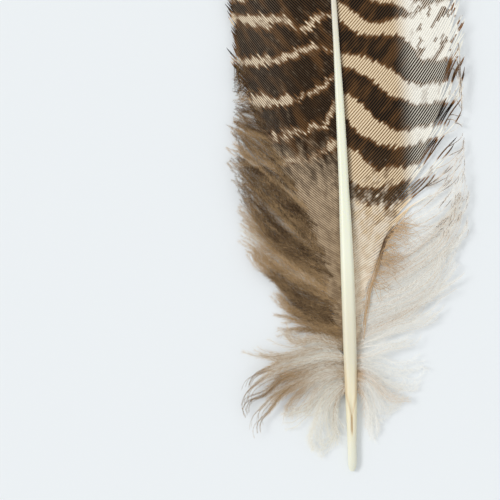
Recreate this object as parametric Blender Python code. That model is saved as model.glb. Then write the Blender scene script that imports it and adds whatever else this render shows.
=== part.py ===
"""Peacock quill: one barred wing feather of a peafowl, lying on its upper side with its underside up.

Metres, +Z up. The shaft runs along +Y from the bare quill tip towards the vane's tip. The origin is
on the flat face that the feather rests on, halfway along it. Distances along the shaft are counted
from the quill's tip, and distances across it from the middle of the shaft, in millimetres.
"""

import math

import bmesh
import bpy
from mathutils import Vector

MM = 0.001

# Driving dimensions, in millimetres
LENGTH = 230.0
SHAFT_BOW = 2.7
SHAFT_END = 222.0
SHAFT_BOTTOM = 0.12
SHAFT_FLATNESS = 0.92
SHAFT_SIDES = 12
SHAFT_RINGS = 40

VANE_START = 31.0
VANE_END = 227.0
VANE_ROWS = 72
VANE_THICK_AT_SHAFT = 0.62
VANE_THICK_AT_EDGE = 0.30
RIDGE_HEIGHT = 0.10

FLAT_HALF_WIDTH = 9.0
EDGE_CURL = 0.0058
TIP_CURL_START = 178.0
TIP_CURL = 0.0021
TIP_ROUND_START = 168.0

LOCKS_PER_SIDE = 24
LOCK_ROOT_FIRST = 23.0
LOCK_ROOT_LAST = 60.0
LOCK_HALF_WIDTH = 1.05
LOCK_HALF_HEIGHT = 0.26
LOCK_SEGMENTS = 6
LOCK_HEIGHT = 0.36
LOCK_STAGGER = 0.31

# Width of the shaft at distances from the quill's tip
SHAFT_WIDTHS = [
    (0.0, 0.9), (0.7, 1.8), (2.0, 2.25), (8.0, 2.3), (14.0, 2.7), (20.0, 3.0), (28.0, 3.3),
    (40.0, 3.4), (50.0, 3.35), (63.0, 2.95), (70.0, 2.55), (82.0, 2.35), (93.0, 2.1),
    (105.0, 1.6), (118.0, 1.35), (150.0, 1.0), (190.0, 0.65), (224.0, 0.3),
]

# Depth of the groove along the top of the shaft, deepest in the pit where the vane begins
GROOVE_DEPTHS = [(9.0, 0.0), (13.0, 0.5), (16.0, 0.42), (22.0, 0.16), (60.0, 0.14), (150.0, 0.08), (224.0, 0.02)]

# Angle between barbs and shaft in degrees, by root: as they leave the shaft, then at their outer ends
BARB_ANGLES = [
    (30.0, 72.0, 50.0), (42.0, 63.0, 45.0), (58.0, 53.0, 38.0), (80.0, 45.0, 29.0),
    (150.0, 45.0, 29.0), (215.0, 27.0, 12.0), (227.0, 7.0, 2.0),
]

# How far out the firm barbs reach, by where they leave the shaft
RIGHT_REACH = [
    (31.0, 3.0), (37.0, 4.2), (43.0, 5.4), (49.0, 8.0), (53.0, 11.0), (56.0, 15.0), (58.5, 20.0),
    (61.0, 25.0), (64.0, 29.2), (68.0, 30.8), (110.0, 31.2), (160.0, 29.5),
]
LEFT_REACH = [
    (31.0, 3.2), (39.0, 5.1), (43.0, 7.2), (48.0, 11.0), (52.0, 14.0), (56.0, 17.5), (60.0, 21.0),
    (65.0, 24.0), (72.0, 25.6), (110.0, 26.4), (160.0, 25.0),
]

# Where the down reaches: root on the shaft, then the tip's distance along and across
RIGHT_DOWN = [
    (23.0, 7.0, 11.0), (26.0, 12.0, 14.5), (29.0, 18.0, 18.0), (32.0, 24.5, 20.0), (35.0, 31.0, 21.5),
    (38.0, 37.0, 24.0), (41.0, 43.0, 27.0), (44.0, 50.0, 30.5), (48.0, 59.0, 31.5), (52.0, 68.0, 31.5),
    (56.0, 77.0, 31.5), (60.0, 84.0, 31.0),
]
LEFT_DOWN = [
    (23.0, 4.0, 11.0), (25.0, 4.5, 17.0), (27.0, 8.0, 23.0), (29.5, 12.5, 27.5), (32.5, 18.5, 28.5),
    (36.0, 26.5, 27.5), (39.0, 33.0, 24.5), (43.0, 41.0, 20.0), (47.0, 49.0, 20.5), (51.0, 58.0, 24.0),
    (55.0, 67.0, 26.0), (60.0, 79.0, 26.0),
]


def between(stations, at, column=1):
    """Value of a column of the stations at a distance, on straight lines between them."""
    if at <= stations[0][0]:
        return stations[0][column]
    for low, high in zip(stations, stations[1:]):
        if at <= high[0]:
            share = (at - low[0]) / (high[0] - low[0])
            return low[column] + share * (high[column] - low[column])
    return stations[-1][column]


def shaft_x(along):
    """Sideways place of the shaft's middle, which bows gently to the right."""
    share = along / LENGTH
    return SHAFT_BOW * 4.0 * share * (1.0 - share)


def place(along, across, height):
    """Point of the part for a place on the feather, in metres."""
    return Vector((shaft_x(along) + across, along - LENGTH / 2.0, height)) * MM


def tip_edge(side, along):
    """Half width of the rounded tip at a distance along the shaft."""
    stations = RIGHT_REACH if side > 0 else LEFT_REACH
    share = min(1.0, max(0.0, (along - TIP_ROUND_START) / (LENGTH - TIP_ROUND_START)))
    return (stations[-1][1] + 2.0) * math.sqrt(max(0.0, 1.0 - share ** 2.3))


def lift(along, across):
    """Height of the vane's lower face: flat by the shaft, curled up at its edges and tip."""
    out = max(0.0, abs(across) - FLAT_HALF_WIDTH)
    ahead = max(0.0, along - TIP_CURL_START)
    return EDGE_CURL * out ** 2 + TIP_CURL * ahead ** 2


def barb_angle(root, share):
    """Angle between a barb and the shaft: open near the quill, closing outwards and to the tip."""
    open_angle = between(BARB_ANGLES, root, 1)
    outer_angle = between(BARB_ANGLES, root, 2)
    return math.radians(open_angle + (outer_angle - open_angle) * share ** 1.3)


def barb_path(side, root, steps=240):
    """Places (along, across) on the barb rooted at a point, up to where the firm vane ends."""
    full = 52.0
    reach = between(RIGHT_REACH if side > 0 else LEFT_REACH, root)
    along = root
    across = 0.0
    path = [(along, across)]
    for step in range(steps):
        angle = barb_angle(root, step / steps)
        along += math.cos(angle) * full / steps
        across += math.sin(angle) * full / steps
        path.append((along, across))
        if across > min(reach, tip_edge(side, along)):
            break
    return path


def along_path(path, share):
    """Place at a share of the way along a path of even steps."""
    exact = share * (len(path) - 1)
    index = min(int(exact), len(path) - 2)
    part = exact - index
    return tuple(a + (b - a) * part for a, b in zip(path[index], path[index + 1]))


def new_object(name, vertices, faces, material):
    mesh = bpy.data.meshes.new(name)
    mesh.from_pydata(vertices, [], faces)
    mesh.validate()
    obj = bpy.data.objects.new(name, mesh)
    bpy.context.collection.objects.link(obj)
    mesh.materials.append(material)
    return obj


def plain_material(name, colour, roughness):
    material = bpy.data.materials.new(name)
    material.use_nodes = True
    shader = material.node_tree.nodes["Principled BSDF"]
    shader.inputs["Base Color"].default_value = (*colour, 1.0)
    shader.inputs["Roughness"].default_value = roughness
    shader.inputs["Metallic"].default_value = 0.0
    return material


def shaft_ring(along):
    """Points of the shaft's section: rounded, with a groove along its top."""
    half = between(SHAFT_WIDTHS, along) / 2.0
    tall = half * SHAFT_FLATNESS
    middle = SHAFT_BOTTOM + tall + 0.9 * (1.0 - half) * max(0.0, 1.0 - along / 3.0)
    points = []
    for side in range(SHAFT_SIDES):
        turn = 2.0 * math.pi * side / SHAFT_SIDES - math.pi / 2.0
        across = half * math.copysign(abs(math.cos(turn)) ** 0.85, math.cos(turn))
        height = middle + tall * math.copysign(abs(math.sin(turn)) ** 0.85, math.sin(turn))
        if side == SHAFT_SIDES // 2:
            height -= between(GROOVE_DEPTHS, along) * (along > GROOVE_DEPTHS[0][0])
        points.append(place(along, across, height + lift(along, 0.0)))
    return points


def make_shaft(material):
    """The tapered quill and shaft, with both ends closed."""
    stops = [0.0, 0.7, 2.0, 5.0, 9.0, 11.0, 13.0, 16.0, 19.0, 22.0]
    last = stops[-1]
    rest = SHAFT_RINGS - len(stops)
    stops += [last + (SHAFT_END - last) * (index + 1) / rest for index in range(rest)]
    vertices = []
    for along in stops:
        vertices += shaft_ring(along)
    faces = [tuple(range(SHAFT_SIDES))]
    for ring in range(len(stops) - 1):
        for side in range(SHAFT_SIDES):
            a = ring * SHAFT_SIDES + side
            b = ring * SHAFT_SIDES + (side + 1) % SHAFT_SIDES
            faces.append((b, a, a + SHAFT_SIDES, b + SHAFT_SIDES))
    faces.append(tuple(reversed(range(len(vertices) - SHAFT_SIDES, len(vertices)))))
    return new_object("feather", vertices, faces, material)


def split_depth(row, side, columns):
    """How far in a gap between two rows of barbs reaches: most are only notches in the edge."""
    deep = {1: (14, 25, 41, 57), -1: (11, 19, 34, 51, 63)}[side]
    deeper = {1: (14, 41), -1: (11, 51)}[side]
    if row in deeper:
        return columns - 3
    if row in deep:
        return columns - 2
    return columns - 1


def make_vane(material):
    """Both vanes as one thin plate: ridged rows of barbs that part at the edges."""
    shares = [0.0, 0.30, 0.52, 0.74, 0.90, 1.0]
    columns = len(shares) - 1
    roots = [VANE_START + (VANE_END - VANE_START) * row / VANE_ROWS for row in range(VANE_ROWS + 1)]
    paths = {(side, row): barb_path(side, root) for side in (1, -1) for row, root in enumerate(roots)}
    vertices = []
    numbers = {}
    faces = []

    def corner(side, row, column, upper, top):
        """Number of a vertex; a parted row has one copy for the barbs below and one for those above."""
        depth = split_depth(row, side, columns)
        parted = column > depth and 0 < row < VANE_ROWS
        copy = upper if parted else 0
        key = (side if column else 0, row, column, copy, top)
        if key in numbers:
            return numbers[key]
        share = shares[column]
        gap = 0.0
        if parted:
            out = (column - depth) / (columns - depth)
            gap = (0.35 + 0.25 * (columns - 1 - depth)) * out * (1 if upper else -1)
            if upper and column == columns:
                share -= 0.018
        along, across = along_path(paths[(side, row)], share)
        height = lift(along, across)
        if top:
            thick = VANE_THICK_AT_SHAFT + (VANE_THICK_AT_EDGE - VANE_THICK_AT_SHAFT) * share
            height += thick + RIDGE_HEIGHT * (row % 2) * min(1.0, 3.0 * share)
        numbers[key] = len(vertices)
        vertices.append(place(along + gap, side * across, height))
        return numbers[key]

    def face(*corners):
        faces.append(tuple(corners))

    for side in (1, -1):
        for row in range(VANE_ROWS):
            for column in range(columns):
                top = [corner(side, row, column, 1, 1), corner(side, row, column + 1, 1, 1),
                       corner(side, row + 1, column + 1, 0, 1), corner(side, row + 1, column, 0, 1)]
                low = [corner(side, row, column, 1, 0), corner(side, row, column + 1, 1, 0),
                       corner(side, row + 1, column + 1, 0, 0), corner(side, row + 1, column, 0, 0)]
                if side > 0:
                    face(*top)
                    face(*reversed(low))
                else:
                    face(*reversed(top))
                    face(*low)
            tips = [corner(side, row, columns, 1, 0), corner(side, row, columns, 1, 1),
                    corner(side, row + 1, columns, 0, 1), corner(side, row + 1, columns, 0, 0)]
            face(*(reversed(tips) if side > 0 else tips))
        for row in range(1, VANE_ROWS):
            for column in range(split_depth(row, side, columns), columns):
                for upper in (0, 1):
                    wall = [corner(side, row, column, upper, 0), corner(side, row, column + 1, upper, 0),
                            corner(side, row, column + 1, upper, 1), corner(side, row, column, upper, 1)]
                    face(*(wall if (side > 0) == bool(upper) else reversed(wall)))
        for column in range(columns):
            for row, first in ((0, True), (VANE_ROWS, False)):
                wall = [corner(side, row, column, 0, 0), corner(side, row, column + 1, 0, 0),
                        corner(side, row, column + 1, 0, 1), corner(side, row, column, 0, 1)]
                face(*(wall if (side > 0) == first else reversed(wall)))
    return new_object("vane_plate", vertices, faces, material)


def lock_points(side, root, number):
    """Middle line of one lock of down: out of the shaft, arching, then drooping to its tip."""
    stations = RIGHT_DOWN if side > 0 else LEFT_DOWN
    tip_along = between(stations, root, 1)
    tip_across = between(stations, root, 2)
    shorter = 1.0 - 0.13 * (number % 3)
    bend = 4.0 * math.sin(number * 2.4)
    points = []
    for step in range(LOCK_SEGMENTS + 1):
        share = step / LOCK_SEGMENTS
        reach = share * shorter
        swing = math.sin(math.pi * share)
        along = root + (tip_along - root) * reach ** 1.35 + (3.0 + bend) * swing * 0.5
        across = tip_across * reach ** 0.92
        firm = between(RIGHT_REACH if side > 0 else LEFT_REACH, root) + 1.5
        free = min(1.0, max(0.0, (across - firm) / 8.0)) * min(1.0, 4.0 * (1.0 - share))
        height = LOCK_HEIGHT + (0.5 + 0.9 * (number % 2)) * free + lift(along, across)
        points.append((along, side * across, height))
    return points


def make_locks(material):
    """The down below the vanes, as tapered locks that start inside the shaft."""
    vertices = []
    faces = []
    for side in (1, -1):
        for number in range(LOCKS_PER_SIDE):
            root = LOCK_ROOT_FIRST + (LOCK_ROOT_LAST - LOCK_ROOT_FIRST) * number / (LOCKS_PER_SIDE - 1)
            root += LOCK_STAGGER * side
            points = lock_points(side, root, number)
            first = len(vertices)
            for step, (along, across, height) in enumerate(points):
                share = step / LOCK_SEGMENTS
                wide = LOCK_HALF_WIDTH * (0.55 + 1.1 * share) * (1.0 - share ** 2.2) + 0.16
                tall = LOCK_HALF_HEIGHT * (1.0 - 0.75 * share)
                before = points[max(0, step - 1)]
                after = points[min(LOCK_SEGMENTS, step + 1)]
                heading = math.atan2(after[0] - before[0], after[1] - before[1])
                turn_along = math.cos(heading) * wide
                turn_across = -math.sin(heading) * wide
                vertices.append(place(along + turn_along, across + turn_across, height))
                vertices.append(place(along, across, height + tall))
                vertices.append(place(along - turn_along, across - turn_across, height))
                vertices.append(place(along, across, height - tall))
            faces.append(tuple(range(first, first + 4)))
            for step in range(LOCK_SEGMENTS):
                for corner in range(4):
                    a = first + step * 4 + corner
                    b = first + step * 4 + (corner + 1) % 4
                    faces.append((b, a, a + 4, b + 4))
            last = first + LOCK_SEGMENTS * 4
            faces.append((last + 3, last + 2, last + 1, last))
    return new_object("down_locks", vertices, faces, material)


def face_outwards(obj):
    """Turns a closed mesh's faces out where its volume shows that they point in."""
    mesh = bmesh.new()
    mesh.from_mesh(obj.data)
    bmesh.ops.recalc_face_normals(mesh, faces=mesh.faces)
    mesh.to_mesh(obj.data)
    mesh.free()


def fuse(obj, other, overlaps_itself=False):
    """Joins another closed shape to an object, which keeps both materials."""
    join = obj.modifiers.new("join " + other.name, "BOOLEAN")
    join.operation = "UNION"
    join.solver = "EXACT"
    join.use_self = overlaps_itself
    join.material_mode = "TRANSFER"
    join.object = other
    other.hide_render = True
    other.display_type = "WIRE"


def main():
    for obj in list(bpy.data.objects):
        bpy.data.objects.remove(obj, do_unlink=True)

    ivory = plain_material("ivory shaft", (0.87, 0.88, 0.67), 0.4)
    brown = plain_material("barred brown vane", (0.16, 0.11, 0.07), 0.75)
    tan = plain_material("tan down", (0.62, 0.54, 0.43), 0.9)

    feather = make_shaft(ivory)
    vane = make_vane(brown)
    locks = make_locks(tan)
    for obj in (feather, vane, locks):
        face_outwards(obj)
    fuse(feather, vane)
    fuse(feather, locks, overlaps_itself=True)
    weld = feather.modifiers.new("weld", "WELD")
    weld.merge_threshold = 0.000004


main()
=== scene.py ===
import math

import bpy
import numpy as np
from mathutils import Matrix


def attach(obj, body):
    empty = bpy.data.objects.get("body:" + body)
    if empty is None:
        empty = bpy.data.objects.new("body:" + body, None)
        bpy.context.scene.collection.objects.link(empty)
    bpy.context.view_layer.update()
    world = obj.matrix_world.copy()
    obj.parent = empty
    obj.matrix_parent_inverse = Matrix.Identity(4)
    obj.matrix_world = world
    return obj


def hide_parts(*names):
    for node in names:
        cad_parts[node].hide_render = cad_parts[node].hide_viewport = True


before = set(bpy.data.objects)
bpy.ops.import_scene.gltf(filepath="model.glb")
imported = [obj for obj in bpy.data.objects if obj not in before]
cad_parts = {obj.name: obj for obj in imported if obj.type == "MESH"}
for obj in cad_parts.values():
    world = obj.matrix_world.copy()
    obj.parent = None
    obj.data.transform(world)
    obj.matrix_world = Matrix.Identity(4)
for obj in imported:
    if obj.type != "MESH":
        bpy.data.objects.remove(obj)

# A barred peafowl wing feather lying with its underside up, dressed barb by barb.
# Places are given along the shaft from the quill's tip and across it from its middle, in millimetres.
# A fade is a pair of values: where it starts and where it is complete.

MM = 0.001
RIGHT = 1
LEFT = -1
SIDE_NAMES = {RIGHT: "right", LEFT: "left"}
RNG = np.random.default_rng(7)
CURL_RNG = np.random.default_rng(21)
ANY_PHASE = (0, 6.3)

# The feather's own sizes, the same as the solid's
LENGTH = 230
SHAFT_BOW = 2.7
SHAFT_END = 222
SHAFT_BOTTOM = 0.12
SHAFT_FLATNESS = 0.92
VANE_START = 27
VANE_END = 227
FLAT_HALF_WIDTH = 9
EDGE_CURL = 0.0058
TIP_CURL_START = 178
TIP_CURL = 0.0021
TIP_ROUND_START = 168
TIP_ROUNDNESS = 2.3

# Width of the shaft by distance from the quill's tip
SHAFT_WIDTHS = [
    (0, 0.9), (0.7, 1.8), (2, 2.25), (8, 2.3), (14, 2.7), (20, 3), (28, 3.3), (40, 3.4), (50, 3.35),
    (63, 2.95), (70, 2.55), (82, 2.35), (93, 2.1), (105, 1.6), (118, 1.35), (150, 1), (190, 0.65),
    (222, 0.3),
]

# The shaft's groove, and the pit where the vane begins
SHAFT_SIDES = 28
CORNER_FULLNESS = 0.9
QUILL_END_HEIGHT = 1
QUILL_END_LENGTH = 3
GROOVE_FADE = (16, 30)
GROOVE_DEPTH = 0.10
GROOVE_WIDTH = 0.4
PIT_DEPTH = 0.5
PIT_START = (8.5, 11)
PIT_END = (14, 24)
PIT_WIDTH = 0.16
PIT_WIDENING = 0.5
PIT_WIDENING_FADE = (12.5, 22)
SLIT_WIDTH = 0.2
SLIT_START = (8.6, 10.4)
SLIT_END = (12.6, 15.2)
PIT_LINE_START = (11.5, 13.5)
PIT_LINE_END = (20, 32)
PIT_LINE_SPREAD = (12.5, 20)

# Angle between barbs and shaft in degrees, by root: as they leave the shaft, then at their outer ends
BARB_ANGLES = [
    (22, 92, 62), (30, 72, 50), (42, 63, 38), (50, 58, 26), (58, 53, 20), (66, 50, 23), (80, 45, 29),
    (150, 45, 29), (215, 27, 12), (227, 7, 2),
]

# Distance between neighbouring barbs on the shaft, by root
SPACING = {
    RIGHT: [
        (19, 0.28), (28, 0.34), (35, 0.45), (45, 0.52), (55, 0.62), (65, 0.75), (80, 0.88),
    ],
    LEFT: [
        (19, 0.28), (28, 0.34), (35, 0.45), (50, 0.54), (68, 0.6), (80, 0.66), (92, 0.74), (105, 0.79),
    ],
}

# How far out the firm barbs reach and how much of that holds together, by root
REACH = {
    RIGHT: [
        (26, 0, 1), (31, 2.8, 1), (37, 4, 1), (43, 5.4, 1), (48, 8.6, 0.9), (51, 15, 0.62), (54, 23, 0.5),
        (57, 28.5, 0.5), (60, 30.8, 0.58), (63, 31.3, 0.68), (68, 31.3, 0.78), (74, 31.3, 0.86),
        (84, 31.3, 0.91), (110, 31.2, 0.94), (160, 29.5, 0.96),
    ],
    LEFT: [
        (26, 0, 1), (31, 3.2, 1), (39, 5.1, 1), (43, 6.6, 1), (48, 8.6, 1), (52, 10.4, 1), (56, 12, 1),
        (60, 14.6, 1), (64, 18, 0.98), (68, 22, 0.96), (72, 25, 0.95), (76, 26.2, 0.96),
        (110, 26.6, 0.975), (160, 25, 0.98),
    ],
}

# Where the loose ends of the lower barbs reach: root, tip along, tip across, heading at the tip in degrees
LOOSE_ENDS = {
    RIGHT: [
        (19, 4, 3.5, 172), (21, 6, 8, 150), (23, 11.5, 13.5, 122), (25, 17.5, 17, 100),
        (26.5, 23, 19.5, 88), (28, 29, 21.5, 76), (30, 35.5, 23, 66), (32.5, 42.5, 25.5, 60),
        (36, 50, 28.5, 44), (40, 57.5, 30, 30), (44, 65, 30.6, 18), (48, 71.5, 30.8, 12),
        (52, 77.5, 30.8, 12), (56, 83, 30.8, 14), (60, 88, 30.8, 18), (64, 92, 30.8, 22),
        (68, 95.5, 30.8, 28),
    ],
    LEFT: [
        (19, 2.5, 4, 176), (21, 4, 9.5, 165), (23, 6, 16, 158), (25, 10.5, 25, 142),
        (26.5, 15, 28.6, 126), (28, 21.5, 30, 110), (29.5, 29, 27, 98), (31, 34, 22, 80),
        (33, 43, 18, 34), (36, 51, 21.8, 28), (40, 60, 25, 26), (45, 69, 26.6, 25), (50, 76, 26.8, 25),
        (55, 81, 26.6, 30), (62, 87, 26.5, 34), (68, 92, 26.3, 36), (78, 100, 26, 36),
    ],
}

# Loose barbs by root: strands for each root, longest barbules, distance between barbules
FLUFF = {
    RIGHT: [
        (19, 1.5, 3.2, 0.26), (30, 2, 3.4, 0.24), (45, 2.2, 3.2, 0.22), (52, 1.6, 2.6, 0.26),
        (60, 0.8, 1.6, 0.36), (68, 0.3, 1, 0.5),
    ],
    LEFT: [
        (19, 2.2, 3.8, 0.34), (27, 2.8, 4, 0.32), (33, 3.2, 3.2, 0.29), (48, 3.5, 2.8, 0.28),
        (68, 3.8, 2, 0.28), (78, 2.2, 1.4, 0.36),
    ],
}

# The curled lower edge of the right web, from the quill up: along, across
RIGHT_FOLD = [(30, 2.8), (38, 4), (45, 5.4), (52, 7.8), (57, 9.6), (60, 11.8), (61.5, 14.2)]

# Pale bars of each vane: across, then the bar's upper and lower edge along the shaft
BARS = {
    RIGHT: [
        [(0, 118.5, 113.6), (2, 117, 112), (4, 115.5, 110), (6, 113.8, 108.6), (9, 111.2, 108),
         (12, 111.5, 108.3), (15, 112.5, 108), (17, 112.8, 107), (19, 112.2, 104.6), (21, 112.6, 101.2),
         (32, 112.2, 101)],
        [(0, 104.6, 101.2), (3, 104, 100.5), (5, 103.7, 99.5), (7, 103.4, 98), (9, 102.5, 96.5),
         (11, 101, 94.5), (13, 100, 92.8), (15, 98.5, 92), (17, 96.6, 91.2), (19, 95.5, 90.2),
         (23, 95.6, 90.5), (32, 95.6, 90.3)],
        [(0, 95.5, 90.5), (2, 94.2, 87), (4, 93, 84.5), (6, 91, 83), (8, 88.6, 81.8), (10, 86.7, 81),
         (12, 85.4, 80.1), (15, 84, 80.1), (18, 84.9, 80), (22, 85, 81.6), (32, 85.3, 82.2)],
        [(0, 82, 75), (2, 81, 72.2), (4, 79.5, 71), (6, 77, 70.4), (9, 74.6, 70), (12, 75.6, 70),
         (15, 75.2, 71.4), (32, 78, 73)],
        [(0, 69, 20), (3, 67.6, 20), (6, 66.2, 20), (12, 65.5, 20), (16, 67.5, 20), (32, 70, 20)],
    ],
    LEFT: [
        [(0, 114.6, 113.7), (3, 114.8, 113.5), (5, 115, 112.6), (6, 114.2, 111), (8, 112.8, 110.4),
         (10, 111.6, 111.4), (12, 113.9, 112.6), (15, 114.6, 112.5), (17, 114.5, 111.5),
         (20, 115.4, 111.6), (23, 115.2, 113), (28, 116, 113.6)],
        [(0, 105.5, 105), (4, 106, 105), (6, 107, 105.4), (8, 106.3, 104.4), (10, 106, 104),
         (12, 105.5, 103.5), (14, 105, 102.4), (16, 104, 102), (18, 105, 102.4), (20, 105.4, 102),
         (23, 105, 103), (28, 106, 104)],
        [(0, 100, 98.8), (3, 98, 96.4), (5, 96.5, 94.8), (7, 95.6, 94), (9, 94.6, 93.6), (11, 93.8, 92.6),
         (13, 95.6, 92), (15, 94.8, 92.4), (17, 94.8, 91.8), (20, 95.6, 92.2), (23, 95, 93.2),
         (28, 95.4, 93.6)],
        [(0, 93, 91.4), (2, 92, 88.8), (3, 89.6, 86.6), (4, 88, 85.6), (5, 86.4, 86), (7, 88.4, 86.8),
         (9, 86.4, 84.7), (12, 86, 84.9), (15, 85.4, 83.6), (18, 84.8, 83.6), (28, 88, 86.6)],
        [(0, 82.6, 80.6), (3, 83, 80.4), (5, 79.4, 79), (10, 78, 77.4), (13, 79, 77.2), (17, 78.4, 77),
         (28, 79, 78)],
    ],
}

# Bars of the upper part, which the photo's edge cuts off, follow on at an even distance.
# Their shape: across, then the upper and lower edge beside the bar's middle
UPPER_BARS_FROM = 124.5
UPPER_BARS_EVERY = 10.6
UPPER_BARS_COUNT = 10
UPPER_BARS_FLATTER = 0.45
UPPER_BARS_WANDER = 0.8
UPPER_BAR_SHAPE = {
    RIGHT: [
        (0, 1.6, -1.6), (5, -0.6, -4.6), (10, -3.2, -7), (15, -5.6, -9.2), (20, -8.2, -12.6),
        (32, -8.6, -13.4),
    ],
    LEFT: [
        (0, 0.5, -0.5), (5, -0.4, -2), (9, -2.6, -4.2), (14, -2, -4.6), (20, -1.6, -4.8), (28, -1.4, -4),
    ],
}

# Gaps between barbs at the vanes' edges: root, where along the barb the gap starts, how wide it opens
SPLITS = {
    RIGHT: [
        (56.5, 0.42, 1), (60.5, 0.6, 0.9), (64.5, 0.74, 0.8), (69.5, 0.8, 0.7), (73.5, 0.86, 0.5),
        (79, 0.82, 0.7), (84.5, 0.9, 0.4), (89, 0.86, 0.5), (118, 0.62, 1.3), (141, 0.84, 0.6),
        (163, 0.7, 1.1), (190, 0.8, 0.8),
    ],
    LEFT: [
        (76, 0.86, 0.6), (93, 0.88, 0.5), (112, 0.86, 0.6), (139, 0.66, 1.2), (150, 0.85, 0.5),
        (172, 0.72, 1.1), (205, 0.8, 0.7),
    ],
}
SPLIT_NEIGHBOURHOOD = 3.2

# Firm barbs. The profile of one: across the web from -1 to 1, its rise, and its share of the ridge
BARB_STEPS = 46
COURSE_STEPS = 260
LONGEST_BARB = 52
SHORTEST_REACH = 0.8
REACH_SCATTER = 0.35
WEB_HEIGHT = 0.30
WEB_OVERLAP = 1.14
LEAST_SLANT = 0.25
FREE_HALF_WIDTH = 0.17
POINTED_LENGTH = 1.6
CLIMB_HEIGHT = 0.35
CLIMB_REACH = 3
DIP_DEPTH = 0.24
DIP_REACH = 1.2
RIDGE_AT_ROOT = 0.17
RIDGE_LOSS = 0.11
RIB_PROFILE = [(-1, -0.05, 0), (-0.36, 0, 0), (0, 0, 1), (0.36, 0.02, 0), (1, 0.03, 0)]

# How the marks differ from side to side: a bar's scatter from barb to barb, its slow wave, the painted
# shadow of the shaft on the web beside it, the least hatching with its fade, and a shift that gives each
# side its own noise
BAR_SCATTER = {RIGHT: 0.18, LEFT: 0.3}
BAR_WAVE = {RIGHT: 0.2, LEFT: 0.4}
SHAFT_SHADOW_STRENGTH = {RIGHT: 0.75, LEFT: 0.35}
SHAFT_SHADOW_WIDTH = (0.1, 0.9)
SHAFT_SHADOW_FADE = (52, 66)
LEAST_HATCH = {RIGHT: 0.2, LEFT: 0.15}
HATCH_FADE = {RIGHT: (34, 64), LEFT: (44, 74)}
NOISE_SHIFT = {RIGHT: 0, LEFT: 50}

# Fades of the right web: pale at its edge, and paler there above; flecked on its lowest bars
RIGHT_OUTER_FADE = (14, 19.5)
RIGHT_EDGE_FADE = (18, 21)
RIGHT_EDGE_ABOVE = (99, 103)
LOWEST_BARS_FADE = (76, 80)

# Loose barbs
DOWN_START = 19.5
DOWN_END = {RIGHT: 68, LEFT: 78}
LOCK_SIZES = (2, 6)
BARE_QUILL_END = 29
FAN_FADE = (29, 34)
LOOSE_REACH = 30
LOOSE_INSIDE = {RIGHT: 4.5, LEFT: 7}
SHORTEST_LOOSE = 1.2
LOOSE_STEP = 0.5
LOWEST_STEM = 0.12
LOWEST_BARBULE = 0.08
STEM_WIDTH = {RIGHT: 0.105, LEFT: 0.1}
BARBULE_WIDTH = {RIGHT: 0.038, LEFT: 0.052}
BARBULE_ANGLES = {RIGHT: (16, 74), LEFT: (16, 56)}
BARBULE_TONE_SCATTER = {RIGHT: 0.05, LEFT: 0.10}
FEWEST_BARBULES = 3

# Roots of the left locks that end in dark hooks, and the hooks' form
LEFT_HOOKS = [24.9, 26.2, 27.6]
HOOK_HALF_WIDTH = 0.62
HOOK_CURL = 1.15
HOOK_START = 0.82
CURL_START = 0.6

# The strands of the fold and of the tan tuft on it
FOLD_STRANDS = 14
FOLD_STEPS = 60
FOLD_HALF_WIDTH = 0.05
FOLD_DARKENING = (48, 58)
CURL_STRANDS = 90
CURL_STEPS = 16
CURL_FROM = 2.2
CURL_LENGTHS = (4, 9.5)
CURL_HEADINGS = (0.9, 2.4)
CURL_TONES = (0.38, 0.60)
CURL_HALF_WIDTH = 0.065
FOLD_MAP_LANE = 0.995
CURL_MAP_LANE = 0.997

# Where dark bars run on along loose right barbs, in line with the web's, and where they are torn
BARRED_ROOTS = (49, 55)
BARRED_ACROSS = (13, 18)
TORN_ROOTS = (37, 41)
TORN_ACROSS = (18, 24)
TORN_ALONG = (54, 60)

# Where the down's tone changes: the middle of each patch and its size, both as along, across
TAN_PATCH = (56, 9.5)
TAN_SIZE = (6.5, 4.5)
FAN_SHADE = (22, 18.5)
FAN_SHADE_SIZE = (7, 7.5)

# Colours as 8-bit red, green and blue. Those of each vane: the pale bars by the shaft and at the edge,
# the worn lower web where it is pale and where it is dark, where wear starts and is complete on its
# scale from 0 to 1, and how far it fades the dark bars
VANE_TONES = {
    RIGHT: {
        "pale_inner": (240, 210, 166), "pale_outer": (252, 250, 240), "worn": (250, 237, 216),
        "worn_dark": (229, 208, 180), "wear_edge": (0.46, 0.85), "faded": 0.72,
    },
    LEFT: {
        "pale_inner": (230, 204, 168), "pale_outer": (240, 222, 190), "worn": (168, 145, 116),
        "worn_dark": (130, 108, 82), "wear_edge": (0, 0.9), "faded": 0,
    },
}
DARK_BROWN = (29, 19, 10)
PATCH_BROWN = (108, 74, 40)
OUTER_BROWN = (88, 76, 62)
FADED_BROWN = (122, 94, 64)
FRINGE_BROWN = (150, 104, 60)
# Painted shadow that the shaft casts on the web beside it
SHAFT_SHADOW_BROWN = (38, 30, 26)
# Painted shadow in the slits between neighbouring barbs: between the bars, on them, at the pale edge and on
# the worn web
GAP_SHADOW_DARK = (5, 3, 2)
GAP_SHADOW_PALE = (92, 64, 40)
GAP_SHADOW_OUTER = (253, 250, 241)
GAP_SHADOW_WORN = (104, 82, 60)
RIDGE_DARK = (98, 72, 45)
RIDGE_PALE = (255, 244, 220)
RIDGE_OUTER = (248, 242, 226)
RIDGE_WORN = (238, 218, 190)
DOWN_TONES = {
    RIGHT: ((86, 62, 44), (203, 170, 128), (250, 249, 243)),
    LEFT: ((68, 48, 29), (186, 154, 112), (242, 239, 228)),
}
IVORY = (238, 241, 214)
IVORY_LIGHT = (246, 246, 230)
IVORY_UPPER = (224, 217, 200)
IVORY_LOWER = (230, 224, 200)
QUILL_TIP = (232, 232, 214)
QUILL = (240, 231, 200)
SLIT_BROWN = (196, 156, 98)
FLOOR = (237, 241, 243)

# Where the shaft's tone changes
TIP_TONE_FADE = (2, 16)
QUILL_TONE_FADE = (18, 30)
LOWER_TONE_FADE = (30, 58)
UPPER_TONE_FADE = (88, 125)

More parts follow.
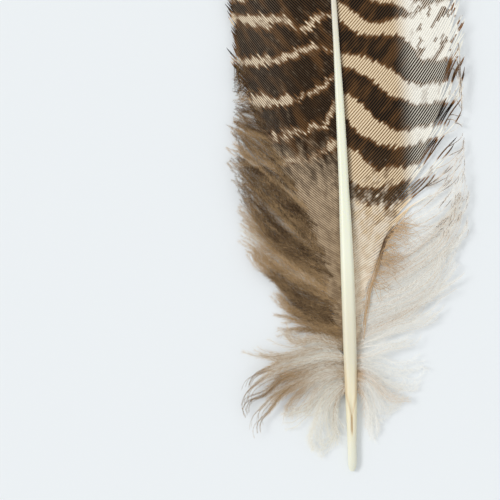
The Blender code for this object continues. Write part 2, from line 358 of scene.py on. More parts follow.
# Noise on the barbs: how fine along a barb, how fine from barb to barb, its layer, its detail
STREAKS = (0.35, 1.1, 0, 3)
PATCHES = (0.12, 0.22, 0, 2)
FLECKS = (0.24, 0.33, 4, 2)
MOTTLES = (0.45, 0.42, 9, 2)

# The camera, from the photograph: its turn, the place under its middle, and the size of one pixel there
PIXEL = 0.25
CAMERA_TURN = math.radians(-3.6)
VIEW_CENTRE = (-22.1, -58.25)
IMAGE_SIDE = 500
LENS = 100
SENSOR = 36
CAMERA_CLEARANCE = 1

# Floor and light
FLOOR_HALF_SIDE = 3.0
SKY_COLOUR = (0.98, 0.99, 1, 1)
SKY_STRENGTH = 0.74
WINDOW_ENERGY = 1.15
WINDOW_SPREAD = math.radians(18)
WINDOW_TURN = (math.radians(-12), math.radians(-42), 0)


def between(stations, at, column=1):
    """Value of a column of the stations at a distance, on straight lines between them."""
    return np.interp(at, [s[0] for s in stations], [s[column] for s in stations])


def smooth(value, start, complete):
    """0 before the start of a fade, 1 where it is complete, and a soft step between them."""
    share = np.clip((value - start) / (complete - start), 0, 1)
    return share * share * (3 - 2 * share)


def window(value, rise, fall):
    """1 between two fades, of which the first goes up and the second goes down."""
    return smooth(value, *rise) * (1 - smooth(value, *fall))


def patch(along, across, middle, size):
    """1 in the middle of a round patch, fading out over its size."""
    return np.exp(-((across - middle[1]) / size[1]) ** 2 - ((along - middle[0]) / size[0]) ** 2)


def shaft_x(along):
    """The bowed shaft's place to the side of a straight line."""
    share = along / LENGTH
    return SHAFT_BOW * 4 * share * (1 - share)


def lift(along, across):
    """Height of the vane's lower face: flat by the shaft, curled up at its edges and tip."""
    out = np.maximum(0, np.abs(across) - FLAT_HALF_WIDTH)
    ahead = np.maximum(0, along - TIP_CURL_START)
    return EDGE_CURL * out ** 2 + TIP_CURL * ahead ** 2


def place(along, across, height):
    """Points of the part, in metres, for places on the feather."""
    return np.stack([shaft_x(along) + across, along - LENGTH / 2, height], axis=-1) * MM


def on_map(share):
    """Place on the bake's map of a share of a length, kept clear of the map's edge."""
    return 0.01 + 0.98 * share


class Mesher:
    """Collects points, faces and values per point, and makes one mesh object of them."""

    def __init__(self, *value_names):
        self.points = []
        self.faces = []
        self.maps = []
        self.values = {name: [] for name in value_names}
        self.count = 0

    def add(self, points, faces, uv, **values):
        self.points.append(points)
        self.faces += [tuple(corner + self.count for corner in face) for face in faces]
        self.maps.append(uv)
        for name, store in self.values.items():
            store.append(np.broadcast_to(values[name], (len(points),)))
        self.count += len(points)

    def build(self, name, material):
        mesh = bpy.data.meshes.new(name)
        mesh.from_pydata(np.concatenate(self.points).tolist(), [], self.faces)
        uv = np.concatenate(self.maps)
        corners = np.empty(len(mesh.loops), dtype=np.int32)
        mesh.loops.foreach_get("vertex_index", corners)
        layer = mesh.uv_layers.new(name="OFBake")
        layer.data.foreach_set("uv", uv[corners].astype(np.float32).ravel())
        for value_name, store in self.values.items():
            attribute = mesh.attributes.new(value_name, "FLOAT", "POINT")
            attribute.data.foreach_set("value", np.concatenate(store).astype(np.float32))
        mesh.shade_smooth()
        mesh.materials.append(material)
        return new_object(name, mesh)


def new_object(name, data):
    """An object of the scene, for a mesh, a camera or a light."""
    made = bpy.data.objects.new(name, data)
    bpy.context.collection.objects.link(made)
    return made


# Shader helpers

def new_material(name, roughness, specular=0.5):
    """A material, its node tree and its shader."""
    material = bpy.data.materials.new(name)
    material.use_nodes = True
    shader = material.node_tree.nodes["Principled BSDF"]
    shader.inputs["Roughness"].default_value = roughness
    shader.inputs["Specular IOR Level"].default_value = specular
    return material, material.node_tree, shader


def colour(tone):
    """Linear colour of an 8-bit one."""
    return tuple(((c / 255 + 0.055) / 1.055) ** 2.4 if c > 10 else c / 3294 for c in tone) + (1,)


def feed(tree, socket, value):
    """Feeds a socket. A name stands for a value that the mesh holds, and three numbers for a colour."""
    if isinstance(value, str):
        node = tree.nodes.new("ShaderNodeAttribute")
        node.attribute_name = value
        value = node.outputs["Fac"]
    if isinstance(value, tuple):
        value = colour(value)
    if isinstance(value, bpy.types.NodeSocket):
        tree.links.new(value, socket)
    else:
        socket.default_value = value


def calc(tree, operation, a, b=0):
    node = tree.nodes.new("ShaderNodeMath")
    node.operation = operation
    feed(tree, node.inputs[0], a)
    feed(tree, node.inputs[1], b)
    return node.outputs[0]


def times(tree, a, b):
    return calc(tree, "MULTIPLY", a, b)


def plus(tree, a, b):
    return calc(tree, "ADD", a, b)


def opposite(tree, share):
    """What is left of 1."""
    return calc(tree, "SUBTRACT", 1, share)


def swing(tree, value, size):
    """Noise from 0 to 1 made to swing about zero."""
    return times(tree, calc(tree, "SUBTRACT", value, 0.5), size)


def step(tree, value, start, complete):
    """The shader's own smooth(): 0 before a fade, 1 where it is complete."""
    node = tree.nodes.new("ShaderNodeMapRange")
    node.interpolation_type = "SMOOTHSTEP"
    feed(tree, node.inputs["Value"], value)
    node.inputs["From Min"].default_value = start
    node.inputs["From Max"].default_value = complete
    return node.outputs["Result"]


def mix(tree, share, a, b):
    """Colour a where the share is 0 and colour b where it is 1."""
    node = tree.nodes.new("ShaderNodeMix")
    node.data_type = "RGBA"
    feed(tree, node.inputs[0], share)
    feed(tree, node.inputs[6], a)
    feed(tree, node.inputs[7], b)
    return node.outputs[2]


def noise(tree, x, y, z, scale, detail):
    """Noise at a place, from 0 to 1."""
    where = tree.nodes.new("ShaderNodeCombineXYZ")
    for socket, value in zip(where.inputs, (x, y, z)):
        feed(tree, socket, value)
    node = tree.nodes.new("ShaderNodeTexNoise")
    feed(tree, node.inputs["Vector"], where.outputs[0])
    node.inputs["Scale"].default_value = scale
    node.inputs["Detail"].default_value = detail
    return node.outputs["Fac"]


def barb_noise(tree, kind):
    """Noise that goes along the barbs, of a kind in the list above."""
    along_scale, across_scale, layer, detail = kind
    return noise(tree, times(tree, "run", along_scale), times(tree, "root", across_scale), layer, 1, detail)


def barb_colour(tree, tones, pale_share, wear, worn_tone, ragged, patches):
    """Colour of the barbs' webs: brown between the bars, cream on them, worn low down."""
    dark = mix(tree, step(tree, patches, 0.45, 0.68), DARK_BROWN, PATCH_BROWN)
    greyed = times(tree, times(tree, "outer", 0.8), "hatch")
    dark = mix(tree, greyed, dark, OUTER_BROWN)
    faded = times(tree, step(tree, "wear", 0.1, 0.6), tones["faded"])
    dark = mix(tree, faded, dark, FADED_BROWN)
    fringe = times(tree, step(tree, ragged, -0.9, 0), 0.75)
    dark = mix(tree, fringe, dark, FRINGE_BROWN)
    pale = mix(tree, "outer", tones["pale_inner"], tones["pale_outer"])
    return mix(tree, wear, mix(tree, pale_share, dark, pale), worn_tone)


def gap_shadow_colour(tree, pale_share, wear, worn_tone):
    """Painted shadow in the slits between the barbs: nearly black between the bars, brown on them, closed
    at the pale edge.
    """
    smooth_share = times(tree, "outer", pale_share)
    tone = mix(tree, pale_share, GAP_SHADOW_DARK, GAP_SHADOW_PALE)
    tone = mix(tree, smooth_share, tone, GAP_SHADOW_OUTER)
    return mix(tree, wear, tone, mix(tree, 0.5, worn_tone, GAP_SHADOW_WORN))


def ridge_colour(tree, pale_share, wear):
    """Colour along the top of each barb's rib."""
    tone = mix(tree, pale_share, RIDGE_DARK, RIDGE_PALE)
    tone = mix(tree, "outer", tone, RIDGE_OUTER)
    return mix(tree, wear, tone, RIDGE_WORN)


def vane_material(side):
    """Barbs with pale bars on dark brown, each barb a light rib between gaps of painted shadow, and the
    shaft's shadow painted on the web beside it.
    """
    tones = VANE_TONES[side]
    material, tree, shader = new_material("barred_" + SIDE_NAMES[side], 0.6, 0.12)
    streaks, patches, flecks, mottles = [
        barb_noise(tree, kind) for kind in (STREAKS, PATCHES, FLECKS, MOTTLES)
    ]

    ragged = plus(tree, "bar", swing(tree, streaks, 2.4))
    fleck_share = times(tree, step(tree, flecks, 0.53, 0.58), "fleck")
    pale_share = times(tree, step(tree, ragged, -0.15, 0.75), opposite(tree, fleck_share))

    mottle = plus(tree, times(tree, streaks, 0.45), times(tree, mottles, 0.55))
    worn_tone = mix(tree, step(tree, mottle, 0.40, 0.60), tones["worn_dark"], tones["worn"])
    wear = step(tree, plus(tree, "wear", swing(tree, mottle, 1.6)), *tones["wear_edge"])

    web = barb_colour(tree, tones, pale_share, wear, worn_tone, ragged, patches)
    rib = calc(tree, "ABSOLUTE", "rib")
    # Painted shadow in the slits between neighbouring barbs, to each side of the rib
    gap_shadow_share = times(tree, step(tree, rib, 0.38, 0.84), times(tree, "hatch", 0.96))
    surface = mix(tree, gap_shadow_share, web, gap_shadow_colour(tree, pale_share, wear, worn_tone))
    strength = times(tree, "hatch", plus(tree, 0.6, times(tree, "outer", 0.4)))
    ridge_share = times(tree, opposite(tree, step(tree, rib, 0.1, 0.48)), strength)
    surface = mix(tree, ridge_share, surface, ridge_colour(tree, pale_share, wear))
    # Painted shadow of the shaft on the web beside it
    surface = mix(tree, "rim", surface, SHAFT_SHADOW_BROWN)

    feed(tree, shader.inputs["Base Color"], surface)
    return material


def down_material(side):
    """Loose down: a tone per point from brown through tan to near white."""
    dark, middle, pale = DOWN_TONES[side]
    material, tree, shader = new_material("down_" + SIDE_NAMES[side], 0.75, 0.2)
    brown_to_tan = mix(tree, step(tree, "tone", 0, 0.5), dark, middle)
    surface = mix(tree, step(tree, "tone", 0.5, 1), brown_to_tan, pale)
    feed(tree, shader.inputs["Base Color"], surface)
    return material


def shaft_material():
    """Ivory horn, yellower in the bare quill and brown in the slit where the vane begins."""
    material, tree, shader = new_material("ivory_shaft", 0.38)
    streaks = noise(tree, times(tree, "along", 0.05), times(tree, "top", 3), 0, 2, 3)
    body = mix(tree, streaks, IVORY, IVORY_LIGHT)
    body = mix(tree, step(tree, "along", *UPPER_TONE_FADE), body, IVORY_UPPER)
    body = mix(tree, step(tree, "along", *LOWER_TONE_FADE), IVORY_LOWER, body)
    quill = mix(tree, step(tree, "along", *TIP_TONE_FADE), QUILL_TIP, QUILL)
    surface = mix(tree, step(tree, "along", *QUILL_TONE_FADE), quill, body)
    surface = mix(tree, "slit", surface, SLIT_BROWN)
    feed(tree, shader.inputs["Base Color"], surface)
    shader.inputs["Subsurface Weight"].default_value = 0.15
    shader.inputs["Subsurface Radius"].default_value = (0.002, 0.0018, 0.001)
    return material


# Courses

def running(steps):
    """Running sum of the steps, from 0."""
    return np.concatenate([[0], np.cumsum(steps)])


def tip_edge(side, along):
    """Half width of the rounded tip at a distance along the shaft."""
    widest = REACH[side][-1][1] + 2
    share = np.clip((along - TIP_ROUND_START) / (LENGTH - TIP_ROUND_START), 0, 1)
    return widest * np.sqrt(1 - share ** TIP_ROUNDNESS)


def firm_course(side, root, reach):
    """Places on the barb rooted at a point, up to its reach or the feather's rounded tip."""
    share = np.arange(COURSE_STEPS) / COURSE_STEPS
    open_angle = between(BARB_ANGLES, root, 1)
    outer_angle = between(BARB_ANGLES, root, 2)
    angle = np.radians(open_angle + (outer_angle - open_angle) * share ** 1.3)
    along = root + running(np.cos(angle)) * LONGEST_BARB / COURSE_STEPS
    across = running(np.sin(angle)) * LONGEST_BARB / COURSE_STEPS
    over = np.nonzero(across > np.minimum(reach, tip_edge(side, along)))[0]
    last = max(over[0], 4) if len(over) else COURSE_STEPS
    return along[:last + 1], across[:last + 1]


def resample(along, across, count):
    """The same course in even steps, and its running length."""
    run = running(np.hypot(np.diff(along), np.diff(across)))
    even = np.linspace(0, run[-1], count + 1)
    return np.interp(even, run, along), np.interp(even, run, across), even


def bend_to(start, heading, end, end_heading, count):
    """A smooth course from one place and heading to another."""
    span = math.hypot(end[0] - start[0], end[1] - start[1])
    t = np.linspace(0, 1, count + 1)
    from_start = 2 * t ** 3 - 3 * t ** 2 + 1
    out_of_start = t ** 3 - 2 * t ** 2 + t
    to_end = -2 * t ** 3 + 3 * t ** 2
    into_end = t ** 3 - t ** 2
    course = []
    for axis, turn in ((0, math.cos), (1, math.sin)):
        course.append(
            from_start * start[axis] + out_of_start * turn(heading) * span
            + to_end * end[axis] + into_end * turn(end_heading) * span
        )
    return course[0], course[1]


def turned_tail(along, across, turn, start):
    """A course whose last part curls by an angle."""
    share = np.linspace(0, 1, len(along))
    heading = np.arctan2(np.diff(across), np.diff(along)) + turn * smooth(share[1:], start, 1)
    size = np.hypot(np.diff(along), np.diff(across))
    return along[0] + running(np.cos(heading) * size), across[0] + running(np.sin(heading) * size)


def square_to(along, across):
    """Unit vectors square to a course. Those of a barb point towards the feather's tip."""
    d_along = np.gradient(along)
    d_across = np.gradient(across)
    size = np.maximum(np.hypot(d_along, d_across), 1e-9)
    return d_across / size, -d_along / size


def turned(along, across, angle):
    """A direction turned by an angle."""
    cosine = np.cos(angle)
    sine = np.sin(angle)
    return cosine * along - sine * across, sine * along + cosine * across


def grid_faces(rows, columns, flipped=False, closed=False):
    """Faces between neighbouring rows of points. Closed rows are rings."""
    faces = []
    for row in range(rows - 1):
        for i in range(columns if closed else columns - 1):
            a = row * columns + i
            b = row * columns + (i + 1) % columns
            face = (a, b, b + columns, a + columns)
            faces.append(face[::-1] if flipped else face)
    return faces


def flat_strip(side, along, across, height, square, half):
    """Points and faces of a flat strip along a course, with its face upwards."""
    points = np.concatenate([
        place(along + square[0] * half, side * (across + square[1] * half), height),
        place(along - square[0] * half, side * (across - square[1] * half), height),
    ])
    return points, grid_faces(2, len(along), side == LEFT)


def barb_roots(side, first, last):
    """Places on the shaft where barbs grow."""
    roots = []
    root = first
    while root < last:
        roots.append(root)
        root += between(SPACING[side], root)
    return roots


# Marks

def bar_edges(side, across):
    """Upper and lower edge of each bar, at places across the vane."""
    for bar in BARS[side]:
        yield [between(bar, across, column) for column in (1, 2)]
    for number in range(UPPER_BARS_COUNT):
        middle = UPPER_BARS_FROM + UPPER_BARS_EVERY * number
        flatter = 1 - UPPER_BARS_FLATTER * number / UPPER_BARS_COUNT
        wander = UPPER_BARS_WANDER * np.sin(across * 0.45 + number * 2.1)
        shape = UPPER_BAR_SHAPE[side]
        yield [middle + between(shape, across, column) * flatter + wander for column in (1, 2)]


def bar_value(side, along, across):
    """Distance into a pale bar in millimetres, negative in the dark between bars."""
    depths = [np.minimum(upper - along, along - lower) for upper, lower in bar_edges(side, across)]
    return np.max(depths, axis=0)


def right_marks(along, across):
    """How near the pale edge, how worn and how flecked the right web is."""
    outer = smooth(across, *RIGHT_OUTER_FADE)
    wear = np.clip((92 - along - 0.35 * np.minimum(across, 14)) / 40, 0, 1)
    pale_edge = smooth(across, *RIGHT_EDGE_FADE) * (0.35 + 0.65 * smooth(along, *RIGHT_EDGE_ABOVE))
    lowest_bars = (1 - smooth(along, *LOWEST_BARS_FADE)) * smooth(across, 3, 9)
    return outer, wear, np.maximum(pale_edge, 0.5 * lowest_bars)


def left_marks(along, across, bar):
    """The same for the left web, which is flecked at the edges of its bars."""
    outer = 0.12 * smooth(across, 8, 20)
    wear = 1 - smooth(along - 0.25 * across, 60, 88)
    return outer, wear, 0.55 * smooth(np.abs(bar - 0.6), 1.4, 0.2)


def barb_marks(side, root, along, across, free):
    """What the vane's material needs at each place along a barb."""
    slow = math.sin(root * 1.9 + 1.3 * math.sin(root * 0.71)) + 0.6 * math.sin(root * 3.1 + 2 * side)
    shift = RNG.normal(0, BAR_SCATTER[side]) + slow * BAR_WAVE[side]
    if side == LEFT:
        shift = shift + 0.45 * np.sin(0.8 * across + 0.5 * root) * smooth(across, 2, 6)
    bar = bar_value(side, along + shift, across)
    outer, wear, fleck = right_marks(along, across) if side == RIGHT else left_marks(along, across, bar)
    # A narrow band of painted shadow that the shaft casts on the web beside it
    clear = across - 0.5 * between(SHAFT_WIDTHS, along)
    rim = SHAFT_SHADOW_STRENGTH[side] * (1 - smooth(clear, *SHAFT_SHADOW_WIDTH)) * smooth(along, *SHAFT_SHADOW_FADE)
    ribbed = smooth(along - 0.35 * across, *HATCH_FADE[side])
    hatch = LEAST_HATCH[side] + (1 - LEAST_HATCH[side]) * ribbed
    hatch = hatch * (1 - smooth(free, 0, 0.3))
    return dict(bar=bar, outer=outer, wear=wear, fleck=fleck, rim=rim, hatch=hatch)


# Firm barbs

def split_shift(side, root, share):
    """Sideways move of a barb that opens the gaps at the vane's edge."""
    shift = np.zeros_like(share)
    for split_root, start, wide in SPLITS[side]:
        apart = root - split_root
        opening = np.clip((share - start) / (1 - start), 0, 1) ** 1.4
        shift += math.copysign(1, apart) * wide * math.exp(-abs(apart) / SPLIT_NEIGHBOURHOOD) * opening
    return shift


def barb_wander(side, root, run, share, free):
    """Sideways wander of a barb: a slow wave that neighbours share, and its own where it is free."""
    wave = 0.25 * np.sin(run * 0.21 + 0.45 * root) * smooth(share, 0.3, 1)
    spread = 0.7 * (1 - smooth(root, 66, 84)) + 0.28 if side == RIGHT else 0.12
    own = RNG.normal(0, 0.8) + 0.3 * np.sin(run * 0.5 + RNG.uniform(*ANY_PHASE))
    return wave + free * spread * own


def barb_half_width(side, root, run, slant, free):
    """Half the width of a barb's web, which is thin where the barb is free, and pointed."""
    spacing = between(SPACING[side], root)
    half = 0.5 * spacing * np.maximum(slant, LEAST_SLANT) * WEB_OVERLAP
    thin = np.minimum(half, FREE_HALF_WIDTH)
    half = half + (thin - half) * smooth(free, 0, 0.35)
    pointed = smooth(run, run[-1] - POINTED_LENGTH, run[-1])
    return half * (1 - 0.85 * pointed) * smooth(np.arange(BARB_STEPS + 1), -1, 1.5)


def web_height(along, across):
    """Height of the web, which climbs beside the thick shaft and dips beside the thin one."""
    half_shaft = 0.5 * between(SHAFT_WIDTHS, along)
    climb = CLIMB_HEIGHT * np.exp(-across / CLIMB_REACH) * smooth(half_shaft, 0.2, 1)
    dip = DIP_DEPTH * np.exp(-across / DIP_REACH) * (1 - smooth(half_shaft, 0.3, 0.8))
    return lift(along, across) + WEB_HEIGHT + climb - dip


def add_barb(mesher, side, number, total, root):
    """One firm barb: a raised rib with a flat web on each side that meets its neighbours."""
    reach = between(REACH[side], root) + RNG.normal(0, REACH_SCATTER)
    if reach < SHORTEST_REACH:
        return None
    along, across, run = resample(*firm_course(side, root, reach), BARB_STEPS)
    share = run / run[-1]
    square = square_to(along, across)
    free = smooth(share, between(REACH[side], root, 2) - 0.02, 1)
    half = barb_half_width(side, root, run, np.abs(square[0]), free)
    shift = split_shift(side, root, share) + barb_wander(side, root, run, share, free)
    along = along + square[0] * shift
    across = across + square[1] * shift
    base = web_height(along, across)
    ridge = RIDGE_AT_ROOT - RIDGE_LOSS * share

    points = np.concatenate([
        place(
            along + square[0] * half * offset,
            side * (across + square[1] * half * offset),
            base + rise + ridge * ridge_share,
        )
        for offset, rise, ridge_share in RIB_PROFILE
    ])
    rows = len(RIB_PROFILE)
    offsets = np.repeat([offset for offset, _, _ in RIB_PROFILE], len(run))
    uv = np.stack([np.tile(on_map(share), rows), (number + 0.5 + 0.42 * offsets) / total], axis=-1)
    marks = barb_marks(side, root, along, across, free)
    marks["run"] = run
    faces = grid_faces(rows, len(run), side == RIGHT)
    mesher.add(
        points, faces, uv, rib=offsets, root=np.full(len(points), root + NOISE_SHIFT[side]),
        **{name: np.tile(value, rows) for name, value in marks.items()},
    )
    return along, across, base


def make_vane(side, material):
    """One vane, and the course of each firm barb for the loose ones that go on from it."""
    roots = barb_roots(side, VANE_START, VANE_END)
    mesher = Mesher("bar", "outer", "wear", "rib", "run", "root", "fleck", "rim", "hatch")
    firm_barbs = {}
    for number, root in enumerate(roots):
        made = add_barb(mesher, side, number, len(roots), root)
        if made is not None:
            firm_barbs[root] = made
    return mesher.build("vane_" + SIDE_NAMES[side], material), firm_barbs


# Loose barbs

def fan_share(root):
    """1 for the lowest barbs, which fan out from the quill, and 0 for those that sweep up."""
    return 1 - smooth(root, *FAN_FADE)


def new_lock(side, root, count):
    """What the loose barbs of one lock share."""
    spacing = between(SPACING[side], root)
    low = fan_share(root)
    lock = {
        "left": count,
        "root": root + 0.5 * count * spacing,
        "long": RNG.uniform(0.88 - 0.14 * low, 1.04),
        "turn": RNG.normal(0, 0.10 + 0.2 * low),
        "curl": RNG.normal(0, 0.25 + 0.5 * low),
        "swing": RNG.uniform(0.2, 1) * (0.4 + 0.6 * low),
        "pace": RNG.uniform(0.28, 0.6),
        "phase": RNG.uniform(*ANY_PHASE),
        "rise": RNG.uniform(0.2, 1.6),
        "end": RNG.uniform(0.2, 2),
        "tone": RNG.normal(0, 0.09),
    }
    lock["hook"] = float(side == LEFT and any(abs(root - at) < HOOK_HALF_WIDTH for at in LEFT_HOOKS))
    lock["loose"] = 1 - 0.85 * lock["hook"]
    return lock


def loose_end(side, root, lock):
    """Where a loose barb ends and its heading there, drawn towards the middle of its lock."""
    gather = 0.96 if lock["hook"] else 0.7 - 0.3 * smooth(root, 34, 42)
    aim = root + (lock["root"] - root) * gather + RNG.normal(0, 0.1 if lock["hook"] else 0.35)
    along, across, degrees = [between(LOOSE_ENDS[side], aim, column) for column in (1, 2, 3)]
    heading = math.radians(degrees) + (lock["turn"] + RNG.normal(0, 0.1)) * lock["loose"]
    return np.array([along, across]), heading


def start_on_quill(root):
    """Place, heading and height where a loose barb leaves the bare quill."""
    start = np.array([root, 0.5 * between(SHAFT_WIDTHS, root) - 0.3])
    heading = math.radians(between(BARB_ANGLES, root, 1)) + RNG.normal(0, 0.22)
    return start, heading, RNG.uniform(0.5, 1.8)


def start_on_vane(side, root, firm):
    """Place, heading and height where a loose barb goes on from a firm one, mostly below the web."""
    along, across, base = firm
    span = np.hypot(along[-1] - along[0], across[-1] - across[0])
    inside = RNG.uniform(0.02, 1) * min(0.55, LOOSE_INSIDE[side] / max(span, 1))
    at = int(round((1 - inside) * (len(along) - 3)))
    start = np.array([along[at], across[at]])
    heading = math.atan2(across[at + 2] - across[at], along[at + 2] - along[at]) + RNG.normal(0, 0.1)
    if side == RIGHT:
        heading += 0.5 * window(root, (35, 41), (54, 61))
    under = RNG.random() < 0.75
    return start, heading, max(base[at] - 0.35, 0.1) if under else base[at] + 0.15


def down_course(side, root, firm, lock):
    """Middle line of a loose barb: places, heights and running length."""
    end, end_heading = loose_end(side, root, lock)
    start, heading, height = start_on_quill(root) if firm is None else start_on_vane(side, root, firm)
    if lock["hook"]:
        stretch = RNG.uniform(0.93, 1.03)
    else:
        stretch = lock["long"] * RNG.uniform(0.86 - 0.14 * fan_share(root), 1.06)
    end = start + (end - start) * stretch + RNG.normal(0, 0.5 * lock["loose"], 2)
    span = np.hypot(*(end - start))
    if span < SHORTEST_LOOSE:
        return None
    steps = int(max(8, span / LOOSE_STEP))
    along, across = bend_to(start, heading, end, end_heading, steps)
    curl = HOOK_CURL if lock["hook"] else lock["curl"]
    curl = curl + RNG.normal(0, 0.12 * lock["loose"])
    along, across = turned_tail(along, across, curl, HOOK_START if lock["hook"] else CURL_START)
    along, across, run = resample(along, across, steps)
    share = run / run[-1]
    square = square_to(along, across)
    wave = lock["swing"] * share * np.sin(run * lock["pace"] + lock["phase"])
    wave += 0.16 * lock["loose"] * share * np.sin(run * RNG.uniform(0.7, 1.5) + RNG.uniform(*ANY_PHASE))
    along = along + square[0] * wave
    across = np.maximum(across + square[1] * wave, 0.2)
    across = across - 0.75 * np.maximum(across - LOOSE_REACH, 0)
    top = lock["rise"] * RNG.uniform(0.6, 1.3)
    z = height + (lock["end"] - height) * smooth(share, 0, 1) + top * np.sin(np.pi * share)
    z = np.maximum(z, LOWEST_STEM) + 0.6 * lift(along, across) * share
    return along, across, z, run


def dash_share(side, root, along, across, lock):
    """How dark a loose right barb is where the web's dark bars run on along it."""
    if side == LEFT:
        return np.zeros_like(along)
    between_bars = smooth(-bar_value(side, along, across), 0, 1.2)
    barred = smooth(root, *BARRED_ROOTS) * between_bars * smooth(across, *BARRED_ACROSS)
    torn = smooth(root, *TORN_ROOTS) * smooth(across, *TORN_ACROSS) * smooth(along, *TORN_ALONG)
    torn = torn * smooth(np.sin(1.1 * along + lock["phase"] + 2 * root), 0.4, 0.85)
    return np.maximum(barred, torn)


# The tones of a loose barb's stem and of its barbules: 0 brown, 0.5 tan, 1 near white

def right_tones(root, share, along, across, lock, strand):
    """Near white, but tan in one patch and beside the quill, and brown in the dashes."""
    tan = patch(along, across, (TAN_PATCH[0], TAN_PATCH[1] + 1.5 * lock["swing"]), TAN_SIZE) * strand
    beside = (1 - smooth(across, 1.5, 4.5)) * (1 - smooth(along, 40, 50))
    stem = 0.71 + 0.20 * (1 - smooth(root, 28, 34)) - 0.48 * tan - 0.22 * beside
    soft = 1 - 0.58 * tan - 0.3 * beside
    dashes = dash_share(RIGHT, root, along, across, lock)
    return stem - 0.75 * dashes, soft - 0.22 * dashes


def left_tones(root, share, along, across, lock, strand):
    """A brown plume above and a paler fan at the quill."""
    low = 1 - smooth(root, 30, 33.5)
    edge = smooth(share, 0.62, 1) * (1 - smooth(root, 40, 50))
    bars = smooth(bar_value(LEFT, along, across), -0.6, 0.6)
    mottle = np.sin(0.4 * along + lock["phase"]) * np.sin(0.9 * along + 2 * strand)
    plume = 0.23 + 0.34 * edge + 0.14 * bars + 0.09 * mottle - 0.08 * smooth(root, 52, 68)
    pale = 1 - smooth(along, 8, 20)
    fan = 0.70 - 0.42 * patch(along, across, FAN_SHADE, FAN_SHADE_SIZE) + 0.34 * pale
    fan = fan - 0.16 * (1 - smooth(across, 2, 6))
    stem = plume + (fan - 0.20 - plume) * low
    soft = plume + 0.06 + (fan + 0.20 - plume - 0.06) * low
    return stem, soft


DOWN_TONE_RULES = {RIGHT: right_tones, LEFT: left_tones}


def barbule_points(side, root_place, direction, tip_direction, half, long):
    """Five points for each barbule: two at its root, two at its bend and one at its tip."""
    s, w, h = root_place
    side_s = -direction[1] * half
    side_w = direction[0] * half
    mid_s = s + direction[0] * long * 0.5
    mid_w = w + direction[1] * long * 0.5
    tip_s = mid_s + tip_direction[0] * long * 0.5
    tip_w = mid_w + tip_direction[1] * long * 0.5
    tip_h = np.maximum(h + RNG.normal(0, 0.35, len(s)), LOWEST_BARBULE)
    mid_h = 0.5 * (h + tip_h) + 0.08
    points = np.stack([
        place(s + side_s, side * (w + side_w), h),
        place(s - side_s, side * (w - side_w), h),
        place(mid_s - side_s * 0.8, side * (mid_w - side_w * 0.8), mid_h),
        place(mid_s + side_s * 0.8, side * (mid_w + side_w * 0.8), mid_h),
        place(tip_s, side * tip_w, tip_h),
    ], axis=1).reshape(-1, 3)
    return points, mid_s, mid_w


def barbule_faces(count):
    """A four-sided and a three-sided face for each barbule."""
    faces = []
    for first in range(0, 5 * count, 5):
        faces.append((first, first + 1, first + 2, first + 3))
        faces.append((first + 3, first + 2, first + 4))
    return faces


def add_barbules(mesher, side, root, course, lane, reach, lock, strand):
    """Long soft barbules on both sides of a loose barb's stem."""
    longest = between(FLUFF[side], root, 2)
    every = between(FLUFF[side], root, 3)
    half = 0.5 * BARBULE_WIDTH[side]
    along, across, z, run = course
    count = max(int(run[-1] / every), FEWEST_BARBULES)
    at = np.clip((np.arange(count) + RNG.uniform(0, 1, count)) * every, 0, run[-1])
    share = at / run[-1]
    ahead = (np.interp(at, run, np.gradient(along, run)), np.interp(at, run, np.gradient(across, run)))
    root_place = (np.interp(at, run, along), np.interp(at, run, across), np.interp(at, run, z))
    spread = 0.4 * every / max(run[-1], 1)
    for way in (1, -1):
        angle = way * np.radians(RNG.uniform(*BARBULE_ANGLES[side], count))
        long = longest * RNG.uniform(0.35, 1, count) * (1 - 0.6 * share)
        long = long * (1 - 0.8 * lock["hook"] * smooth(share, 0.55, 0.95))
        tip_angle = angle * RNG.uniform(0, 0.7, count)
        points, mid_s, mid_w = barbule_points(
            side, root_place, turned(*ahead, angle), turned(*ahead, tip_angle), half, long,
        )
        u = on_map(share)[:, None] + np.array([-1, 1, 0.8, -0.8, 0]) * spread
        v = np.broadcast_to(lane + way * np.array([0.35, 0.35, 0.65, 0.65, 0.98]) * reach, (count, 5))
        uv = np.stack([np.clip(u, 0, 1).ravel(), v.ravel()], axis=-1)
        tone = DOWN_TONE_RULES[side](root, share, mid_s, mid_w, lock, strand)[1] + lock["tone"]
        tone = tone + RNG.normal(0, BARBULE_TONE_SCATTER[side], count)
        tone = tone - 0.40 * lock["hook"] * smooth(share, 0.6, 0.95)
        mesher.add(points, barbule_faces(count), uv, tone=np.repeat(tone, 5))


def add_down_barb(mesher, side, number, total, root, firm, lock):
    """One loose barb: a fine stem with soft barbules."""
    course = down_course(side, root, firm, lock)
    if course is None:
        return
    along, across, z, run = course
    share = run / run[-1]
    strand = RNG.uniform(0, 1.5)
    half = 0.5 * STEM_WIDTH[side] * (1 - 0.65 * share)
    half = half * (1 + 0.9 * dash_share(side, root, along, across, lock))
    points, faces = flat_strip(side, along, across, z, square_to(along, across), half)
    lane = (number + 0.5) / total
    reach = 0.4 / total
    lanes = np.repeat([lane + 0.3 * reach, lane - 0.3 * reach], len(run))
    uv = np.stack([np.tile(on_map(share), 2), lanes], axis=-1)
    tone = DOWN_TONE_RULES[side](root, share, along, across, lock, strand)[0]
    tone = tone + lock["tone"] + RNG.normal(0, 0.07)
    tone = tone - 0.6 * lock["hook"] * smooth(share, 0.62, 0.9)
    mesher.add(points, faces, uv, tone=np.tile(tone, 2))
    add_barbules(mesher, side, root, course, lane, reach, lock, strand)


def on_fold(at):
    """Place on the fold, where 0 is its first point, 1 its second and so on."""
    order = range(len(RIGHT_FOLD))
    along, across = zip(*RIGHT_FOLD)
    return np.interp(at, order, along), np.interp(at, order, across)


